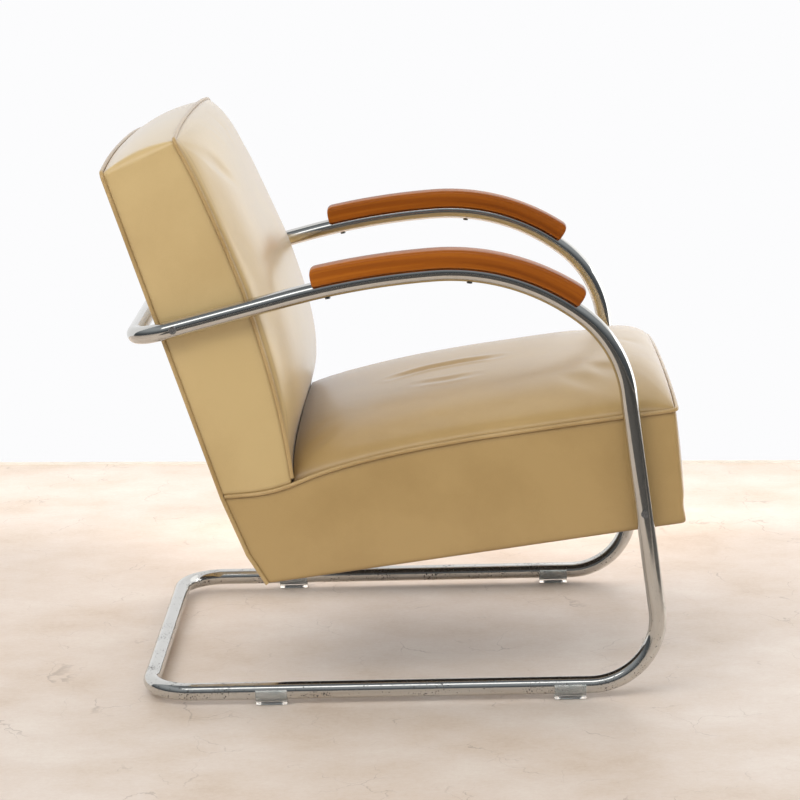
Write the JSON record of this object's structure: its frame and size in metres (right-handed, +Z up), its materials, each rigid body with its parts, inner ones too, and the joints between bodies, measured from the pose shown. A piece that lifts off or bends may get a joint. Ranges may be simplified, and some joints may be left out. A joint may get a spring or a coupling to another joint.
{
  "type": "cantilever armchair",
  "caption": "Upholstered lounge chair hung on one bent steel tube, with a piped box seat and back, curved wooden arm pads and clip-on floor glides.",
  "frame": {"origin": "middle of the footprint, on the floor under the glides", "axes": "+X towards the front of the chair, +Y towards the sitter's left, +Z up"},
  "size_m": [0.813, 0.611, 0.8213],
  "materials": {
    "chrome_tube": "polished, with small pits",
    "steel": "plain",
    "bolt": "dulled",
    "arm_wood": "clear varnish",
    "clear_plastic": "clear",
    "glide_pad": "matt",
    "beech": "raw",
    "webbing": "woven jute",
    "spring_steel": "drawn wire",
    "stuffing": "fibre under calico",
    "hide": "satin, lightly creased",
    "hide_piping": "satin",
    "black_cloth": "plain weave",
    "tack": "blued"
  },
  "bodies": {
    "base": {"floor_tube_right": "chrome_tube", "floor_tube_left": "chrome_tube", "floor_sleeve": "steel", "floor_pins": "steel", "front_bend_right": "chrome_tube", "front_bend_left": "chrome_tube"},
    "chair": {"upper_tube": "chrome_tube", "arm_pad_right": "arm_wood", "arm_pad_left": "arm_wood", "pad_screws": "steel", "seat_bolts": "bolt", "back_bolts": "bolt", "body_spacers": "steel", "body_washers": "steel", "body_nuts": "steel", "seat_rail_right": "beech", "seat_rail_left": "beech", "seat_rail_front": "beech", "seat_rail_rear": "beech", "corner_blocks": "beech", "seat_webbing": "webbing", "seat_springs": "spring_steel", "seat_hessian": "webbing", "seat_stuffing": "stuffing", "seat_cover": "hide", "seat_side_right": "hide", "seat_side_left": "hide", "seat_front_border": "hide", "seat_piping": "hide_piping", "dust_cover": "black_cloth", "back_stile_right": "beech", "back_stile_left": "beech", "back_rail_top": "beech", "back_rail_lower": "beech", "back_webbing": "webbing", "back_stuffing": "stuffing", "back_cover": "hide", "back_boxing": "hide", "back_piping_front": "hide_piping", "back_piping_rear": "hide_piping", "rear_panel": "hide", "rear_tacks": "tack"},
    "glide_front_right": {"glide_front_right": "clear_plastic", "insert_front_right": "glide_pad"},
    "glide_front_left": {"glide_front_left": "clear_plastic", "insert_front_left": "glide_pad"},
    "glide_rear_right": {"glide_rear_right": "clear_plastic", "insert_rear_right": "glide_pad"},
    "glide_rear_left": {"glide_rear_left": "clear_plastic", "insert_rear_left": "glide_pad"}
  },
  "joints": [
    {"name": "cantilever_flex", "type": "hinge", "parent": "base", "child": "chair", "pos_m": [0.2646, 0, 0.1165], "axis": [0, -1, 0], "range_deg": [-0.5, 2.5], "stiffness_Nm_per_rad": 12600, "springref_deg": -0.21, "deforming": ["front_bend_right", "front_bend_left"]},
    {"name": "glide_front_right_turn", "type": "hinge", "parent": "base", "child": "glide_front_right", "pos_m": [0.236, -0.2875, 0.0195], "axis": [1, 0, 0], "range_deg": [-120, 120]},
    {"name": "glide_front_left_turn", "type": "hinge", "parent": "base", "child": "glide_front_left", "pos_m": [0.236, 0.2875, 0.0195], "axis": [1, 0, 0], "range_deg": [-120, 120]},
    {"name": "glide_rear_right_turn", "type": "hinge", "parent": "base", "child": "glide_rear_right", "pos_m": [-0.191, -0.2875, 0.0195], "axis": [1, 0, 0], "range_deg": [-120, 120]},
    {"name": "glide_rear_left_turn", "type": "hinge", "parent": "base", "child": "glide_rear_left", "pos_m": [-0.191, 0.2875, 0.0195], "axis": [1, 0, 0], "range_deg": [-120, 120]}
  ]
}
